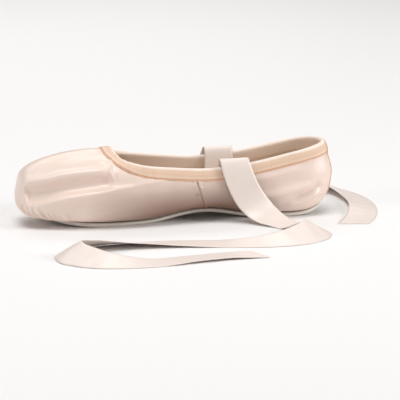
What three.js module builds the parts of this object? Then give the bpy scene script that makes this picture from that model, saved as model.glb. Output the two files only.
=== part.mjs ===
// A demi-pointe ballet shoe: a satin upper on a straight last, a narrow leather sole, a taped topline
// and two ribbons. Millimetres, +X to the toe, +Y to the left, +Z up, with the origin on the floor
// under the middle of the shoe.
import * as THREE from "three";
import { mergeVertices } from "three/addons/utils/BufferGeometryUtils.js";

// Driving dimensions
const LENGTH = 240;
const BALL_WIDTH = 75;
const HEEL_HEIGHT = 54;
const INSTEP_HEIGHT = 54.2;
const WALL = 1.6;
const GAP = 0.3;

// Sole: thickness, the rise of its waist and toe, and the curl of its heel end
const SOLE_THICKNESS = 3;
const SOLE_BEVEL = 0.7;
const ARCH = { from: -62, to: 28, rise: 5.5 };
const SPRING = { from: 58, to: LENGTH / 2, rise: 9.5 };
const HEEL_CURL = { from: -86, to: -112, rise: 6 };

// Lasted margin of the upper on the sole, and the insole on that margin
const SEAT_GAP = 0.45;
const MARGIN_WIDTH = 5;
const EDGE_CLEARANCE = 1.5;
const EDGE_RISE = 0.7;
const INSOLE_THICKNESS = 1.5;
const INSOLE_INSET = 3;

// Tape over the topline, and over the back seam, where it stands out behind the last
const BINDING_WIDTH = 8.5;
const TAPE = 0.6;
const STRIP_FOOT = 0.3;
const STRIP_STEP = 1.2;
const MIDDLE = (GAP + TAPE) / 2;

// Ribbons: sewn inside the quarters, out over the topline and loose on the floor. sewn: place along the
// shoe. floor: the least height of its underside. steps: how many along it.
const RIBBON = { width: 22, thickness: 1, edge: 0.3, sewn: -38, floor: 0.3, steps: 60 };

// A ribbon's middle beside the shoe, from its sewn end up over the topline and down to the floor.
// slip: how far it slants along the shoe. face: the way its surface looks, from straight up to straight out.
const DRAPE = [
  { slip: 0, y: 21.35, z: 20, face: -90 },
  { slip: 0, y: 21.65, z: 31, face: -90 },
  { slip: 0, y: 21.75, z: 41.6, face: -88 },
  { slip: 0, y: 22.9, z: 45.8, face: -45 },
  { slip: 0, y: 25.6, z: 47.4, face: 0 },
  { slip: 0.2, y: 28.5, z: 45.8, face: 45 },
  { slip: 1, y: 30, z: 41.5, face: 80 },
  { slip: 4.5, y: 31.2, z: 31, face: 86 },
  { slip: 9.5, y: 32, z: 20.5, face: 84 },
  { slip: 15, y: 33.8, z: 13, face: 64 },
  { slip: 21.5, y: 38.5, z: 7, face: 36 },
  { slip: 28.5, y: 45, z: 3, face: 12 },
];

// Each ribbon's middle on the floor. lean: how far it tips on its path, its left edge up, in the bends.
const LEFT_FLOOR = [
  { x: -74, y: 54, lean: 0 },
  { x: -83, y: 67, lean: -16 },
  { x: -87, y: 82, lean: -32 },
  { x: -79, y: 96, lean: -32 },
  { x: -62, y: 103, lean: -20 },
  { x: -40, y: 103, lean: -8 },
  { x: -12, y: 97, lean: 0 },
  { x: 20, y: 91, lean: 4 },
  { x: 52, y: 90, lean: 12 },
  { x: 80, y: 95, lean: 24 },
  { x: 98, y: 107, lean: 32 },
  { x: 100, y: 123, lean: 32 },
  { x: 88, y: 136, lean: 24 },
  { x: 67, y: 142, lean: 10 },
  { x: 43, y: 142, lean: 0 },
  { x: 18, y: 138, lean: -4 },
  { x: -8, y: 134, lean: -4 },
  { x: -34, y: 133, lean: 0 },
];
const RIGHT_FLOOR = [
  { x: -2, y: -54, lean: 0 },
  { x: 12, y: -64, lean: 0 },
  { x: 29, y: -74, lean: -14 },
  { x: 41, y: -88, lean: -30 },
  { x: 37, y: -104, lean: -32 },
  { x: 19, y: -113, lean: -26 },
  { x: -8, y: -114, lean: -10 },
  { x: -40, y: -110, lean: 0 },
  { x: -74, y: -106, lean: -4 },
  { x: -106, y: -97, lean: -14 },
  { x: -130, y: -78, lean: -22 },
  { x: -144, y: -52, lean: -16 },
  { x: -148, y: -22, lean: -10 },
  { x: -144, y: 8, lean: -10 },
  { x: -134, y: 35, lean: -4 },
  { x: -120, y: 59, lean: 0 },
];

// The ribs stand on a spine on the centre line, fanned at the heel and at the toe
const SPINE = { heel: -90, toe: 30 };

// One row for each rib of the last, from the back of the heel round the left side to the tip of the toe.
// along: share of the length from the heel. wide: share of half the ball width, at the widest line.
// sole: reach of the sole's edge from the spine. corner: squareness of the turn under the foot.
// bulge: height of the widest line. shoulder and inset: the line where the wall turns in, and how far.
// hollow: how deep the wall sinks between bulge and shoulder. dome: how far the roof arches.
// reach and top: the topline's distance from the spine and its height.
// ribs: the steps from this row to the next.
const STATIONS = [
  { name: "heel back", along: 0, wide: 0, sole: 22, corner: 0.62, bulge: 29, inset: 2.2,
    shoulder: 41, hollow: -0.5, dome: 0.6, reach: 23.2, top: HEEL_HEIGHT, ribs: 2 },
  { name: "strip edge", along: 0.005, wide: 0.225, sole: 21.8, corner: 0.62, bulge: 29, inset: 2.2,
    shoulder: 41, hollow: -0.5, dome: 0.6, reach: 23.2, top: HEEL_HEIGHT - 0.1, ribs: 3 },
  { name: "heel corner", along: 0.034, wide: 0.52, sole: 20.8, corner: 0.65, bulge: 27.5, inset: 2.2,
    shoulder: 40, hollow: -0.5, dome: 0.6, reach: 23.2, top: HEEL_HEIGHT - 0.8, ribs: 2 },
  { name: "heel side", along: 0.092, wide: 0.69, sole: 19.8, corner: 0.69, bulge: 25, inset: 1.8,
    shoulder: 38, hollow: -0.4, dome: 0.5, reach: 22.8, top: HEEL_HEIGHT - 2.8, ribs: 2 },
  { name: "heel breast", along: 0.175, wide: 0.745, sole: 19, corner: 0.72, bulge: 23.5, inset: 1.2,
    shoulder: 35.5, hollow: -0.3, dome: 0.4, reach: 23.8, top: HEEL_HEIGHT - 6.5, ribs: 2 },
  { name: "quarter", along: 0.283, wide: 0.745, sole: 16.5, corner: 0.71, bulge: 23.5, inset: 0.8,
    shoulder: 33, hollow: -0.2, dome: 0.3, reach: 25, top: HEEL_HEIGHT - 11.4, ribs: 3 },
  { name: "waist", along: 0.408, wide: 0.775, sole: 14, corner: 0.71, bulge: 24, inset: 0.8,
    shoulder: 32, hollow: -0.2, dome: 0.3, reach: 26.6, top: HEEL_HEIGHT - 14.2, ribs: 3 },
  { name: "instep", along: 0.533, wide: 0.87, sole: 17.5, corner: 0.72, bulge: 24, inset: 1.4,
    shoulder: 33, hollow: -0.2, dome: 0.4, reach: 28.4, top: INSTEP_HEIGHT - 12.4, ribs: 3 },
  { name: "ball back", along: 0.633, wide: 0.965, sole: 22.5, corner: 0.74, bulge: 25, inset: 4,
    shoulder: 37.5, hollow: 0, dome: 0.7, reach: 28, top: INSTEP_HEIGHT - 9.4, ribs: 2 },
  { name: "ball", along: 0.733, wide: 1, sole: 30, corner: 0.76, bulge: 25.5, inset: 7,
    shoulder: 41, hollow: 0.8, dome: 1.8, reach: 25.2, top: INSTEP_HEIGHT - 6, ribs: 2 },
  { name: "toe joint", along: 0.833, wide: 0.9, sole: 44, corner: 0.78, bulge: 24.5, inset: 7.5,
    shoulder: 41, hollow: 1.5, dome: 3.6, reach: 22, top: INSTEP_HEIGHT - 3, ribs: 2 },
  { name: "box side", along: 0.915, wide: 0.73, sole: 56, corner: 0.8, bulge: 20.5, inset: 6.5,
    shoulder: 38.5, hollow: 1.7, dome: 4.6, reach: 20.4, top: INSTEP_HEIGHT - 1.3, ribs: 2 },
  { name: "box corner", along: 0.978, wide: 0.49, sole: 63.5, corner: 0.81, bulge: 17.5, inset: 3.8,
    shoulder: 36.8, hollow: 0.5, dome: 5.2, reach: 19.5, top: INSTEP_HEIGHT - 0.5, ribs: 2 },
  { name: "platform edge", along: 0.993, wide: 0.4, sole: 65.5, corner: 0.81, bulge: 17.5, inset: 4,
    shoulder: 37.8, hollow: -1, dome: 5.3, reach: 19.2, top: INSTEP_HEIGHT - 0.3, ribs: 2 },
  { name: "platform", along: 0.998, wide: 0.2, sole: 66.5, corner: 0.81, bulge: 18, inset: 6.2,
    shoulder: 42, hollow: -2.1, dome: 4.8, reach: 19, top: INSTEP_HEIGHT, ribs: 2 },
  { name: "toe tip", along: 0.999, wide: 0, sole: 66.5, corner: 0.81, bulge: 18, inset: 6.8,
    shoulder: 43.3, hollow: -2.3, dome: 4.6, reach: 19, top: INSTEP_HEIGHT, ribs: 2 },
];

// Fineness of the model: lines that follow the sole, steps up a rib, rings of a plate from the spine to
// its edge, the step for measuring slopes and the distance under which points are one
const LINES_ON_SOLE = 2;
const RIB_STEPS = { wall: 16, tape: 2 };
const PLATE_RINGS = [0, 0.5, 0.8, 1];
const SLOPE_STEP = 1e-4;
const SAME_POINT = 1e-4;

// Underside of the sole above the floor: flat under heel and ball, raised at the waist and the two ends
function lift(x) {
  let rise = 0;
  if (x > ARCH.from && x < ARCH.to) {
    rise += ARCH.rise * Math.sin((Math.PI * (x - ARCH.from)) / (ARCH.to - ARCH.from)) ** 2;
  }
  for (const end of [SPRING, HEEL_CURL]) {
    const share = (x - end.from) / (end.to - end.from);
    rise += end.rise * Math.max(share, 0) ** 2;
  }
  return rise;
}

// The eight guide points of one rib, from the margin under the foot to the topline. The first two lie on
// the sole, so their heights count from its underside, and the others from the floor.
function guidePoints(station, side) {
  const x = MIDDLE + (station.along - 0.5) * LENGTH;
  const widest = new THREE.Vector2(x, (side * station.wide * BALL_WIDTH) / 2);
  const spine = new THREE.Vector2(THREE.MathUtils.clamp(widest.x, SPINE.heel, SPINE.toe), 0);
  const out = widest.clone().sub(spine);
  const span = out.length();
  out.normalize();
  const place = (reach, z) => new THREE.Vector3(spine.x + out.x * reach, spine.y + out.y * reach, z);
  const seat = SOLE_THICKNESS + SEAT_GAP;
  const edge = station.sole + EDGE_CLEARANCE;
  const ground = lift(spine.x + out.x * edge) + seat;
  const { corner, bulge, inset, shoulder, hollow, dome, reach, top } = station;
  const brow = span - inset;
  return {
    spine,
    sole: place(station.sole, 0),
    rib: [
      place(station.sole - MARGIN_WIDTH, seat),
      place(edge, seat + EDGE_RISE),
      place(edge + (span - edge) * corner, bulge - (bulge - ground) * corner),
      place(span, bulge),
      place((span + brow) / 2 - hollow, (bulge + shoulder) / 2),
      place(brow, shoulder),
      place((brow + reach) / 2, (shoulder + top) / 2 + dome),
      place(reach, top),
    ],
  };
}

const leftSide = STATIONS.map((station) => guidePoints(station, 1));
const rightSide = STATIONS.map((station) => guidePoints(station, -1)).slice(1, -1).reverse();
const ROUND = [...leftSide, ...rightSide];
const closedLine = (points) => new THREE.CatmullRomCurve3(points, true, "centripetal");
const LINES = ROUND[0].rib.map((_, k) => closedLine(ROUND.map((row) => row.rib[k])));
const SOLE_LINE = closedLine(ROUND.map((row) => row.sole));

function ribAt(u) {
  const points = LINES.map((line) => line.getPoint(u));
  points.slice(0, LINES_ON_SOLE).forEach((point) => {
    point.z += lift(point.x);
  });
  return new THREE.CatmullRomCurve3(points, false, "centripetal");
}

// Unit normal of the upper's outer face at rib u and place t along it
function normalAt(u, t) {
  const ahead = ribAt((u + SLOPE_STEP) % 1).getPoint(t);
  const behind = ribAt((u - SLOPE_STEP + 1) % 1).getPoint(t);
  const along = ribAt(u).getTangent(t);
  return along.cross(ahead.sub(behind)).normalize();
}

// A rib with its sample places: RIB_STEPS.wall steps below the tape's lower edge, RIB_STEPS.tape above it
function sampledRib(u) {
  const curve = ribAt(u);
  const length = curve.getLength();
  const share = (down) => curve.getUtoTmapping(1 - down / length);
  const tapeEdge = share(BINDING_WIDTH);
  const wall = Array.from({ length: RIB_STEPS.wall }, (_, k) => (tapeEdge * k) / RIB_STEPS.wall);
  const steps = RIB_STEPS.tape;
  const tape = Array.from({ length: steps }, (_, k) => share(BINDING_WIDTH * (1 - k / steps)));
  const places = [...wall, ...tape, 1];
  const points = places.map((t) => curve.getPoint(t));
  const normals = places.map((t) => normalAt(u, t));
  const offset = (k, distance) => points[k].clone().addScaledVector(normals[k], distance);
  return { u, curve, offset, last: places.length - 1 };
}

// Rib numbers round the shoe, closer where the plan turns
function ribNumbers() {
  const counts = ROUND.map((_, i) => {
    const mirrored = 2 * (STATIONS.length - 1) - i - 1;
    return STATIONS[i < STATIONS.length - 1 ? i : mirrored].ribs;
  });
  const numbers = counts.flatMap((count, i) => Array.from({ length: count }, (_, k) => i + k / count));
  return numbers.map((number) => number / ROUND.length);
}

const RIBS = ribNumbers().map(sampledRib);

// A surface through rows of points, each of its four-sided facets cut along the shorter diagonal. Where
// it doesn't close round, its first and last rows fold back on themselves and are closed rung by rung.
function rowsGeometry(rows, { closedRows = true, closedRound = true } = {}) {
  const count = rows[0].length;
  const points = rows.flat();
  const index = [];
  const roundSteps = closedRound ? rows.length : rows.length - 1;
  const rowSteps = closedRows ? count : count - 1;
  for (let i = 0; i < roundSteps; i++) {
    const next = ((i + 1) % rows.length) * count;
    for (let j = 0; j < rowSteps; j++) {
      const up = (j + 1) % count;
      const [a, b, c, d] = [i * count + j, i * count + up, next + up, next + j];
      const rising = points[a].distanceTo(points[c]) <= points[b].distanceTo(points[d]);
      index.push(...(rising ? [a, b, c, a, c, d] : [a, b, d, b, c, d]));
    }
  }
  if (!closedRound) {
    const end = (rows.length - 1) * count;
    for (let j = 0; j < count / 2 - 1; j++) {
      const [a, b, c, d] = [j, j + 1, count - 2 - j, count - 1 - j];
      index.push(a, c, b, a, d, c);
      index.push(end + a, end + b, end + c, end + a, end + c, end + d);
    }
  }
  const geometry = new THREE.BufferGeometry();
  geometry.setFromPoints(points);
  geometry.setIndex(index);
  return withoutSlivers(mergeVertices(geometry, SAME_POINT));
}

// Drops the triangles that shrink to a line where rows meet at one point
function withoutSlivers(geometry) {
  const corners = Array.from(geometry.index.array);
  const kept = [];
  for (let i = 0; i < corners.length; i += 3) {
    const [a, b, c] = corners.slice(i, i + 3);
    if (a !== b && b !== c && c !== a) {
      kept.push(a, b, c);
    }
  }
  geometry.setIndex(kept);
  geometry.computeVertexNormals();
  return geometry;
}

const countUp = (from, to) => Array.from({ length: to - from + 1 }, (_, k) => from + k);

// Upper: the outer face up every rib and the inner face back down
function upperGeometry() {
  return rowsGeometry(RIBS.map((rib) => {
    const places = countUp(0, rib.last);
    const outer = places.map((k) => rib.offset(k, 0));
    const inner = places.map((k) => rib.offset(k, -WALL)).reverse();
    return [...outer, ...inner];
  }));
}

// Binding: a tape folded over the topline, clear of the upper's two faces and its edge
function bindingGeometry() {
  return rowsGeometry(RIBS.map((rib) => {
    const places = countUp(rib.last - RIB_STEPS.tape, rib.last);
    const up = rib.curve.getTangent(1);
    const face = (distance) => places.map((k) => rib.offset(k, distance));
    const over = (distance, height) => rib.offset(rib.last, distance).addScaledVector(up, height);
    const outside = GAP + TAPE;
    return [
      ...face(outside),
      over(GAP, outside),
      over(-WALL - GAP, outside),
      ...face(-WALL - outside).reverse(),
      ...face(-WALL - GAP),
      over(-WALL - GAP, GAP),
      over(GAP, GAP),
      ...face(GAP).reverse(),
    ];
  }));
}

// Heel strip: a tape over the back seam that steps up over the binding
function heelStripGeometry() {
  const half = STATIONS[0].ribs;
  const ribs = [...RIBS.slice(-half), ...RIBS.slice(0, half + 1)];
  const start = Math.round(RIB_STEPS.wall * STRIP_FOOT);
  return rowsGeometry(ribs.map((rib) => {
    const places = countUp(start, rib.last);
    const tapeEdge = rib.last - RIB_STEPS.tape;
    const lowest = (k) => (k < tapeEdge ? GAP : STRIP_STEP);
    const outer = places.map((k) => rib.offset(k, lowest(k) + TAPE));
    const inner = places.map((k) => rib.offset(k, lowest(k))).reverse();
    return [...outer, ...inner];
  }), { closedRound: false });
}

// A plate under the foot: rings from the spine out to the sole line drawn in by an inset
function plateGeometry({ inset, bottom, top, bevel }) {
  return rowsGeometry(RIBS.map((rib) => {
    const place = rib.u * ROUND.length;
    const from = ROUND[Math.floor(place)].spine;
    const to = ROUND[(Math.floor(place) + 1) % ROUND.length].spine;
    const spine = from.clone().lerp(to, place % 1);
    const edge = SOLE_LINE.getPoint(rib.u);
    const out = new THREE.Vector2(edge.x, edge.y).sub(spine);
    const reach = out.length() - inset;
    out.normalize();
    const at = (distance, height) => {
      const x = spine.x + out.x * distance;
      return new THREE.Vector3(x, spine.y + out.y * distance, lift(x) + height);
    };
    const rings = PLATE_RINGS.map((share) => share * (reach - bevel));
    return [
      ...rings.map((ring) => at(ring, bottom)),
      at(reach, bottom + bevel),
      at(reach, top - bevel),
      ...rings.map((ring) => at(ring, top)).reverse(),
    ];
  }), { closedRows: false });
}

const outsoleGeometry = () => plateGeometry({
  inset: 0,
  bottom: 0,
  top: SOLE_THICKNESS,
  bevel: SOLE_BEVEL,
});

const insoleGeometry = () => {
  const bottom = SOLE_THICKNESS + WALL + 3 * SEAT_GAP;
  return plateGeometry({
    inset: INSOLE_INSET,
    bottom,
    top: bottom + INSOLE_THICKNESS,
    bevel: INSOLE_THICKNESS / 4,
  });
};

// The rows of a ribbon's middle line: each one's place, the way its face looks and its lean. side: 1 left of
// the shoe, -1 right of it. way: 1 where the ribbon slants to the toe, -1 to the heel.
function ribbonRows(side, way, floor) {
  const draped = DRAPE.map(({ slip, y, z, face }) => {
    const angle = THREE.MathUtils.degToRad(face);
    return {
      place: new THREE.Vector3(RIBBON.sewn + way * slip, side * y, z),
      look: new THREE.Vector3(0, side * Math.sin(angle), Math.cos(angle)),
      lean: 0,
    };
  });
  const laid = floor.map(({ x, y, lean }) => ({
    place: new THREE.Vector3(x, y, RIBBON.floor + RIBBON.thickness / 2),
    look: new THREE.Vector3(0, 0, 1),
    lean: THREE.MathUtils.degToRad(lean),
  }));
  return [...draped, ...laid];
}

// Ribbon: a flat strip with thinned edges along its middle line, in shorter steps where the table's rows are
// close, each step raised clear of the floor
function ribbonGeometry(side, way, floor) {
  const rows = ribbonRows(side, way, floor);
  const line = new THREE.CatmullRomCurve3(rows.map((row) => row.place));
  const looks = new THREE.CatmullRomCurve3(rows.map((row) => row.look));
  const leans = new THREE.CatmullRomCurve3(rows.map((row) => new THREE.Vector3(row.lean, 0, 0)));
  const half = { width: RIBBON.width / 2, thickness: RIBBON.thickness / 2 };
  const flat = half.width - RIBBON.edge;
  const thin = half.thickness - RIBBON.edge;
  const section = [[-half.width, thin], [-flat, half.thickness], [flat, half.thickness], [half.width, thin]];
  const folded = [...section, ...section.map(([across, up]) => [across, -up]).reverse()];
  return rowsGeometry(countUp(0, RIBBON.steps).map((k) => {
    const share = k / RIBBON.steps;
    const t = (share + line.getUtoTmapping(share)) / 2;
    const ahead = line.getTangent(t);
    const look = looks.getPoint(t);
    const face = look.addScaledVector(ahead, -look.dot(ahead)).normalize();
    face.applyAxisAngle(ahead, leans.getPoint(t).x);
    const left = face.clone().cross(ahead);
    const middle = line.getPoint(t);
    const row = folded.map(([across, up]) => {
      return middle.clone().addScaledVector(left, -across).addScaledVector(face, up);
    });
    const low = RIBBON.floor - Math.min(...row.map((point) => point.z));
    row.forEach((point) => {
      point.z += Math.max(low, 0);
    });
    return row;
  }), { closedRound: false });
}

const leftRibbonGeometry = () => ribbonGeometry(1, -1, LEFT_FLOOR);
const rightRibbonGeometry = () => ribbonGeometry(-1, 1, RIGHT_FLOOR);

const PIECES = [
  { name: "outsole", geometry: outsoleGeometry, color: "#d9d2c8", roughness: 0.85 },
  { name: "upper", geometry: upperGeometry, color: "#f0e0d4", roughness: 0.4 },
  { name: "binding", geometry: bindingGeometry, color: "#eec9a6", roughness: 0.8 },
  { name: "heel_strip", geometry: heelStripGeometry, color: "#efd9cb", roughness: 0.55 },
  { name: "insole", geometry: insoleGeometry, color: "#e6d8c8", roughness: 0.9 },
  { name: "ribbon_left", geometry: leftRibbonGeometry, color: "#eee4dc", roughness: 0.4 },
  { name: "ribbon_right", geometry: rightRibbonGeometry, color: "#eee4dc", roughness: 0.4 },
];

const shoe = new THREE.Group();
for (const { name, geometry, color, roughness } of PIECES) {
  const material = new THREE.MeshStandardMaterial({ color, roughness, metalness: 0 });
  const mesh = new THREE.Mesh(geometry(), material);
  mesh.name = name;
  shoe.add(mesh);
}

export default shoe;
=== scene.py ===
import math

import bmesh
import bpy
import numpy as np
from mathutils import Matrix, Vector, noise
from mathutils.bvhtree import BVHTree
from mathutils.kdtree import KDTree


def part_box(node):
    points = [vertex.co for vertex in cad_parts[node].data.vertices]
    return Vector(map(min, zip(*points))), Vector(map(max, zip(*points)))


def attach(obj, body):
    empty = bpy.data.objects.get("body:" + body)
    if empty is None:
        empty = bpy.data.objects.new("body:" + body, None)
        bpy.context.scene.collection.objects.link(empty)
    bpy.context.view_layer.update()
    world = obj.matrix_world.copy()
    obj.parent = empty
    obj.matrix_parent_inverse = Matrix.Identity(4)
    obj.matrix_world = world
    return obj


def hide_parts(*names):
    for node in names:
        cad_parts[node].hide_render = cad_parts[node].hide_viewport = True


# A demi-pointe ballet shoe in satin, standing empty with its ribbons loose on the floor. The frame is the
# shoe's own: +X to the toe, +Y to the left, +Z up, origin on the floor. Tables are in millimetres.
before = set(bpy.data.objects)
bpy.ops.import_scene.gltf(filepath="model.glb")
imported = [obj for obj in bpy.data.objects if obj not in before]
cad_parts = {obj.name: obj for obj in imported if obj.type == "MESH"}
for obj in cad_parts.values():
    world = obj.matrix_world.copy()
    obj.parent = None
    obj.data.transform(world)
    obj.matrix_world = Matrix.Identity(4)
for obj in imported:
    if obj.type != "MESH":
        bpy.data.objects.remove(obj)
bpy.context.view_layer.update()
MM = 0.001

MERGE = 1e-6  # metres within which two points are one
SMOOTH_LEVELS = 2

# Camera: its direction from the shoe in degrees, its distance, and the point in the middle of the picture
CAMERA = {"azimuth": 167, "elevation": 12, "distance": 1500, "lens": 180, "sensor": 36,
          "aim": (-18, 2, 12)}

# Ribbons: satin of the usual width, on the routes of the model. sewn: place along the shoe. rest: height of
# a flat ribbon's middle on the floor. soften: points over which its turns are evened out. cut and tail: slant
# of its end, and the share of its length where that starts. ripple and every: waves of its edges in the
# bends. They start below the height clear and are full settle further down.
RIBBON = {"width": 22, "thickness": 0.35, "sewn": -38, "rest": 0.35, "step": 1.5, "across": 16,
          "length": 490, "soften": 6, "cut": 7, "tail": 0.9, "ripple": 0.5, "every": 13,
          "clear": 8, "settle": 6}

# A ribbon's middle beside the shoe: how far it slants along the shoe, its place across and up, and the way
# its face looks, in degrees from straight up to straight out
DRAPE = [
    (0, 21.35, 20, -90), (0, 21.65, 31, -90), (0, 21.75, 41.6, -88), (0, 22.9, 45.8, -45),
    (0, 25.6, 47.4, 0), (0.2, 28.5, 45.8, 45), (1, 30, 41.5, 80), (4.5, 31.2, 31, 86),
    (9.5, 32, 20.5, 84), (15, 33.8, 13, 64), (21.5, 38.5, 7, 36), (28.5, 45, 3, 12),
]
# Its middle on the floor (x, y), and how far it leans on its path in the bends, left edge up
LEFT_FLOOR = [
    (-74, 54, 0), (-83, 67, -16), (-87, 82, -32), (-79, 96, -32), (-62, 103, -20), (-40, 103, -8),
    (-12, 97, 0), (20, 91, 4), (52, 90, 12), (80, 95, 24), (98, 107, 32), (100, 123, 32), (88, 136, 24),
    (67, 142, 10), (43, 142, 0), (18, 138, -4), (-8, 134, -4), (-34, 133, 0),
]
RIGHT_FLOOR = [
    (-2, -54, 0), (12, -64, 0), (29, -74, -14), (41, -88, -30), (37, -104, -32), (19, -113, -26),
    (-8, -114, -10), (-40, -110, 0), (-74, -106, -4), (-106, -97, -14), (-130, -78, -22), (-144, -52, -16),
    (-148, -22, -10), (-144, 8, -10), (-134, 35, -4), (-120, 59, 0),
]

# The spine of the last, on the centre line inside the shoe
SPINE = {"heel": -90, "toe": 30, "height": 30}

# Creases of the upper, as ridges (height above 0) and troughs (below 0). Each line is drawn on the shoe as
# seen from its side (x, z) or from the front (y, z). half: half its width. peak: 2 for a round top, less for
# a sharper one. fade: the shares of its length over which it dies away at its start and at its end.
CREASES = [
    {"name": "box shoulder", "seen": "side", "half": 6, "height": 1.5, "peak": 1.8, "fade": (0.06, 0.12),
     "line": [(117, 33.8), (108, 35.6), (100, 37), (93, 39.4), (82, 41.2), (66, 42.6), (54, 42.4)]},
    {"name": "box trough", "seen": "side", "half": 8.5, "height": -3, "peak": 2, "fade": (0.03, 0.1),
     "line": [(116, 24.4), (107, 26.4), (99, 28.4), (91, 30.8), (82, 32.6), (68, 34.4), (52, 36.4)]},
    {"name": "box ridge", "seen": "side", "half": 6.5, "height": 1.7, "peak": 2, "fade": (0.06, 0.4),
     "line": [(116, 14), (105, 17.2), (99, 19.8), (91, 22), (83, 23.6), (66, 26.8), (50, 29.8),
              (31, 32.6)]},
    {"name": "tension fold", "seen": "side", "half": 3, "height": 1, "peak": 1.6, "fade": (0.35, 0.1),
     "line": [(70, 26), (50, 29.8), (31, 32.6), (12, 35)]},
    {"name": "second fold", "seen": "side", "half": 1.8, "height": 0.45, "peak": 1.4, "fade": (0.3, 0.3),
     "line": [(42, 34), (30, 35.4), (18, 36.8)]},
    {"name": "third fold", "seen": "side", "half": 1.6, "height": 0.4, "peak": 1.4, "fade": (0.3, 0.3),
     "line": [(41, 36.8), (33, 37.7), (25, 38.4)]},
    {"name": "under ridge", "seen": "side", "half": 8, "height": -1.3, "peak": 2, "fade": (0.2, 0.3),
     "line": [(98, 12), (72, 17.5), (46, 22), (20, 26.5)]},
    {"name": "throat wrinkle", "seen": "side", "half": 1.4, "height": 0.7, "peak": 1.4, "fade": (0.3, 0.1),
     "line": [(62.5, 49), (58, 47.4), (53.5, 45)]},
    {"name": "throat wrinkle low", "seen": "side", "half": 1.3, "height": 0.6, "peak": 1.4,
     "fade": (0.3, 0.1), "line": [(61, 46.8), (57.5, 45.4), (54, 43.3)]},
    {"name": "box end, toe side", "seen": "side", "half": 2, "height": 0.8, "peak": 1.4, "fade": (0.05, 0.4),
     "line": [(55.4, 46), (55.1, 42), (54.4, 38), (53.6, 33)]},
    {"name": "box end, heel side", "seen": "side", "half": 1.8, "height": -0.8, "peak": 1.4,
     "fade": (0.05, 0.4), "line": [(53.2, 46), (52.9, 42), (52.2, 38), (51.4, 33)]},
    {"name": "vamp hollow", "seen": "side", "half": 9, "height": -0.8, "peak": 2, "fade": (0.3, 0.3),
     "line": [(38, 25), (18, 28.5), (0, 29)]},
    {"name": "quarter trough", "seen": "side", "half": 7, "height": -1.5, "peak": 2, "fade": (0.25, 0.25),
     "line": [(-100, 33), (-78, 28), (-52, 25), (-34, 25)]},
    {"name": "quarter fold", "seen": "side", "half": 5, "height": 1.4, "peak": 1.5, "fade": (0.2, 0.3),
     "line": [(-104, 27), (-84, 21), (-58, 17.5), (-34, 19)]},
    {"name": "upper fold", "seen": "side", "half": 5, "height": 0.8, "peak": 1.6, "fade": (0.25, 0.25),
     "line": [(-92, 39), (-74, 34.5), (-54, 31.5)]},
    {"name": "heel fold", "seen": "side", "half": 4.5, "height": 2.2, "peak": 1.4, "fade": (0.25, 0.25),
     "line": [(-76, 9), (-88, 12), (-100, 16.5), (-108, 21)]},
    {"name": "heel hollow", "seen": "side", "half": 5, "height": -1.6, "peak": 2, "fade": (0.25, 0.2),
     "line": [(-80, 15), (-94, 18.5), (-107, 26)]},
    {"name": "heel crease", "seen": "side", "half": 1.4, "height": -0.5, "peak": 1.5, "fade": (0.5, 0.05),
     "line": [(-102, 17), (-109, 18.5), (-113, 18.6)]},
    {"name": "heel crease high", "seen": "side", "half": 1.4, "height": -0.45, "peak": 1.5,
     "fade": (0.5, 0.05), "line": [(-103, 22), (-110, 22.6), (-114, 22.4)]},
    {"name": "platform edge", "seen": "front", "half": 2.4, "height": 1.4, "peak": 1.1, "fade": (0.2, 0.12),
     "line": [(15.8, 35), (16, 29), (15.7, 21), (14.8, 12.5)]},
]

# Side seam on both sides, from the tape to the sole: a groove with a lip along it and a row of stitches on
# each side. finer: the distances within which the satin's faces are cut finer.
SIDE_SEAM = {"line": [(-7.5, 38), (-8.9, 33.4), (-12, 23.3), (-15.5, 14), (-17.5, 9)], "half": 1.3,
             "depth": 0.95, "peak": 1.5, "lip": 3.8, "rise": 0.4, "stitches": (1.5, 0, 0.9), "finer": (9, 4)}
# Its short drag lines, by turns on its two sides: reach, distance apart, gap at the seam, height and half
# width, how they die away, and the heights between which they stay
DRAG = {"reach": 6.5, "every": 4.2, "gap": 0.8, "height": 0.7, "half": 1.7, "peak": 1.5,
        "fade": (0.05, 0.5), "lowest": 7.5, "highest": 36}

# Toe pleats under the box, fanned about the spine's toe end: the width of one at the sole's edge, which is
# reach away, its height, where it starts and is full along the shoe, the height over the floor where it is
# gone there and at the tip, and the height over which it dies away. wander: how unevenly they lie. lap: the
# share of its width over which one rises. sunk: the share of its height that lies under the satin's face.
# short: how much sooner a weak one ends. clear: distances from the fan's middle between which they come in.
PLEATS = {"wide": 3.6, "reach": 84, "height": 1.7, "from": 76, "to": 92, "low": 15, "high": 24, "tip": 118,
          "fade": 9, "wander": 0.45, "lap": 0.78, "sunk": 0.45, "short": 4, "clear": (20, 40)}

# Where the satin's faces are cut finer: in front of a place along the shoe and below a height
FINER = [(40, 1000), (PLEATS["to"] - 4, PLEATS["high"] - 2)]

# Slack of the empty satin: height, waves in a millimetre along, across and up, and where the pattern starts
SLACK = [(0.3, (0.025, 0.06, 0.07), (0, 0, 0)), (0.1, (0.07, 0.13, 0.13), (0, 0, 5))]

# Satin by the tape: distances from the topline between which the creases come in, and over which the gathers
# come in and die away, with their height and what the throat adds to it
TOPLINE = {"creases": (6, 12), "gathers_in": (6, 9), "gathers_out": (16, 9), "gather": 0.15, "throat": 0.25}
# Where along the shoe the throat's gathers start and are full
THROAT = (15, 45)

# Painted shade, partly soil: the heights and the places along the shoe over which the arch darkens to brown,
# then the most painted shade that the pleats' valleys and the side seams' grooves take
SHADE_AND_SOIL = {"heights": (33, 4), "heel": (-75, -30), "toe": (75, 5), "pleats": 0.6, "seams": 0.55}

# Run of the satin's threads: how far they lean over the end of the toe, about which height and from where to
# where along the shoe, and the middle and radius of the round that they follow across the foot
THREADS = {"lean": 0.6, "level": 25, "toe": (88, 117), "middle": 24, "radius": 30}

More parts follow.
